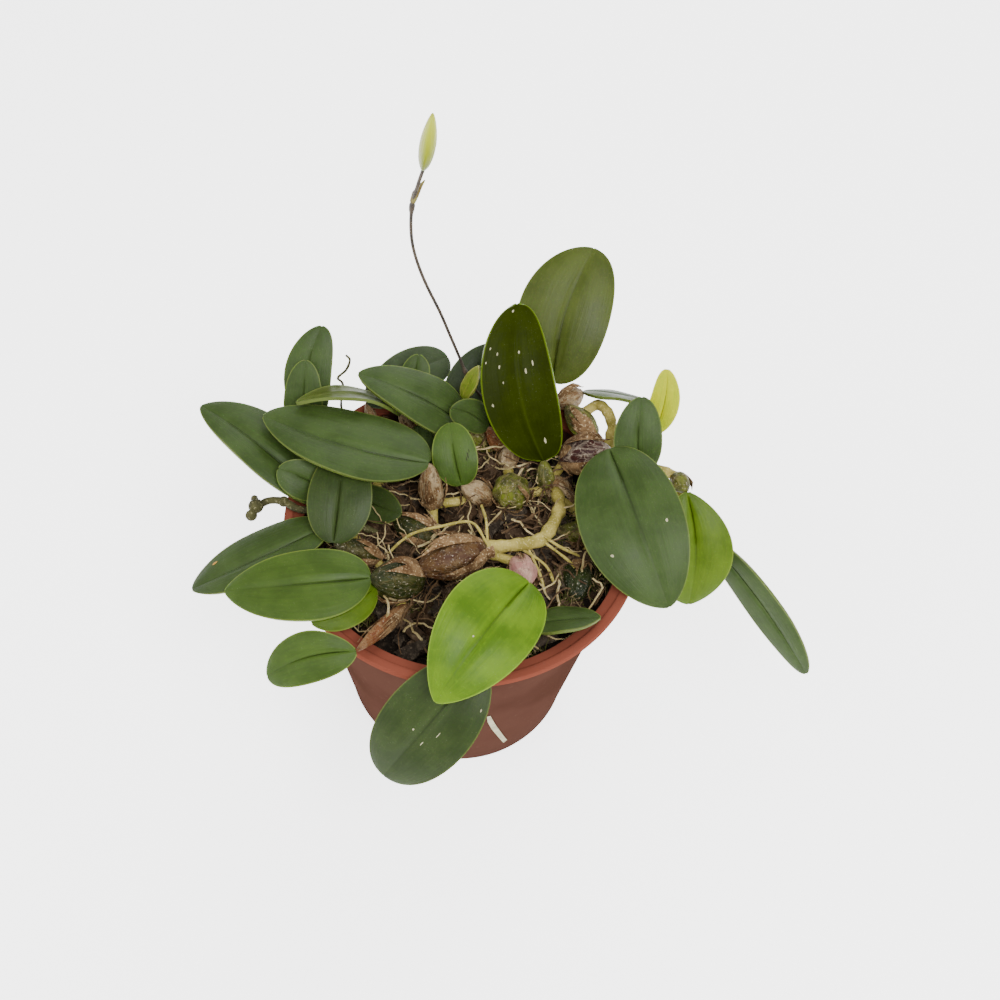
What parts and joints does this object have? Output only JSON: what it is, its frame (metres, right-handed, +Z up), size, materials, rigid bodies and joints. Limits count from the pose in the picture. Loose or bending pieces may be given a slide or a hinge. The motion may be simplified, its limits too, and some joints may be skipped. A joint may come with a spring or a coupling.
{
  "type": "potted bulbophyllum orchid",
  "caption": "Creeping bulbophyllum orchid in a round plastic nursery pot of bark mix: oval leathery leaves on ribbed pseudobulbs, some over the rim, and one thin stalk with a closed bud.",
  "frame": {"origin": "centre of the pot's underside", "axes": "+Z up along the pot's axis, -Y towards the side that the picture looks at, +X to the right of that side"},
  "size_m": [0.2166, 0.1786, 0.256],
  "materials": {
    "pot_plastic": "terracotta-brown moulded polypropylene, softly shiny on the rim",
    "bark_mix": "damp orchid bark chips and moss",
    "pseudobulb_skin": null,
    "stalk_skin": null,
    "bud_skin": null,
    "leaf_centre_left_blade": null,
    "leaf_far_left_blade": null,
    "leaf_back_left_tall_blade": null,
    "leaf_back_left_small_blade": null,
    "leaf_back_left_arched_blade": null,
    "leaf_back_centre_left_blade": null,
    "leaf_back_blue_blade": null,
    "leaf_back_small_blade": null,
    "leaf_back_centre_blade": null,
    "leaf_back_turned_blade": null,
    "leaf_back_right_tall_blade": null,
    "leaf_back_right_edge_blade": null,
    "leaf_right_yellow_blade": null,
    "leaf_right_upright_blade": null,
    "leaf_right_big_blade": null,
    "leaf_right_bright_blade": null,
    "leaf_right_hanging_blade": null,
    "leaf_front_bright_blade": null,
    "leaf_front_low_blade": null,
    "leaf_front_right_small_blade": null,
    "leaf_front_left_small_blade": null,
    "leaf_left_front_blade": null,
    "leaf_left_low_blade": null,
    "leaf_left_under_blade": null,
    "leaf_left_dark_blade": null,
    "leaf_left_inner_blade": null,
    "leaf_left_small_blade": null,
    "leaf_centre_upright_blade": null,
    "leaf_centre_small_blade": null,
    "leaf_centre_new_blade": null,
    "leaf_centre_hidden_blade": null
  },
  "bodies": {
    "root": {"pot": "pot_plastic", "potting_mix": "bark_mix", "rhizome_with_pseudobulbs": "pseudobulb_skin", "flower_stalk": "stalk_skin", "flower_bud": "bud_skin", "leaf_centre_left": "leaf_centre_left_blade", "leaf_far_left": "leaf_far_left_blade", "leaf_back_left_tall": "leaf_back_left_tall_blade", "leaf_back_left_small": "leaf_back_left_small_blade", "leaf_back_left_arched": "leaf_back_left_arched_blade", "leaf_back_centre_left": "leaf_back_centre_left_blade", "leaf_back_blue": "leaf_back_blue_blade", "leaf_back_small": "leaf_back_small_blade", "leaf_back_centre": "leaf_back_centre_blade", "leaf_back_turned": "leaf_back_turned_blade", "leaf_back_right_tall": "leaf_back_right_tall_blade", "leaf_back_right_edge": "leaf_back_right_edge_blade", "leaf_right_yellow": "leaf_right_yellow_blade", "leaf_right_upright": "leaf_right_upright_blade", "leaf_right_big": "leaf_right_big_blade", "leaf_right_bright": "leaf_right_bright_blade", "leaf_right_hanging": "leaf_right_hanging_blade", "leaf_front_bright": "leaf_front_bright_blade", "leaf_front_low": "leaf_front_low_blade", "leaf_front_right_small": "leaf_front_right_small_blade", "leaf_front_left_small": "leaf_front_left_small_blade", "leaf_left_front": "leaf_left_front_blade", "leaf_left_low": "leaf_left_low_blade", "leaf_left_under": "leaf_left_under_blade", "leaf_left_dark": "leaf_left_dark_blade", "leaf_left_inner": "leaf_left_inner_blade", "leaf_left_small": "leaf_left_small_blade", "leaf_centre_upright": "leaf_centre_upright_blade", "leaf_centre_small": "leaf_centre_small_blade", "leaf_centre_new": "leaf_centre_new_blade", "leaf_centre_hidden": "leaf_centre_hidden_blade"}
  },
  "joints": []
}
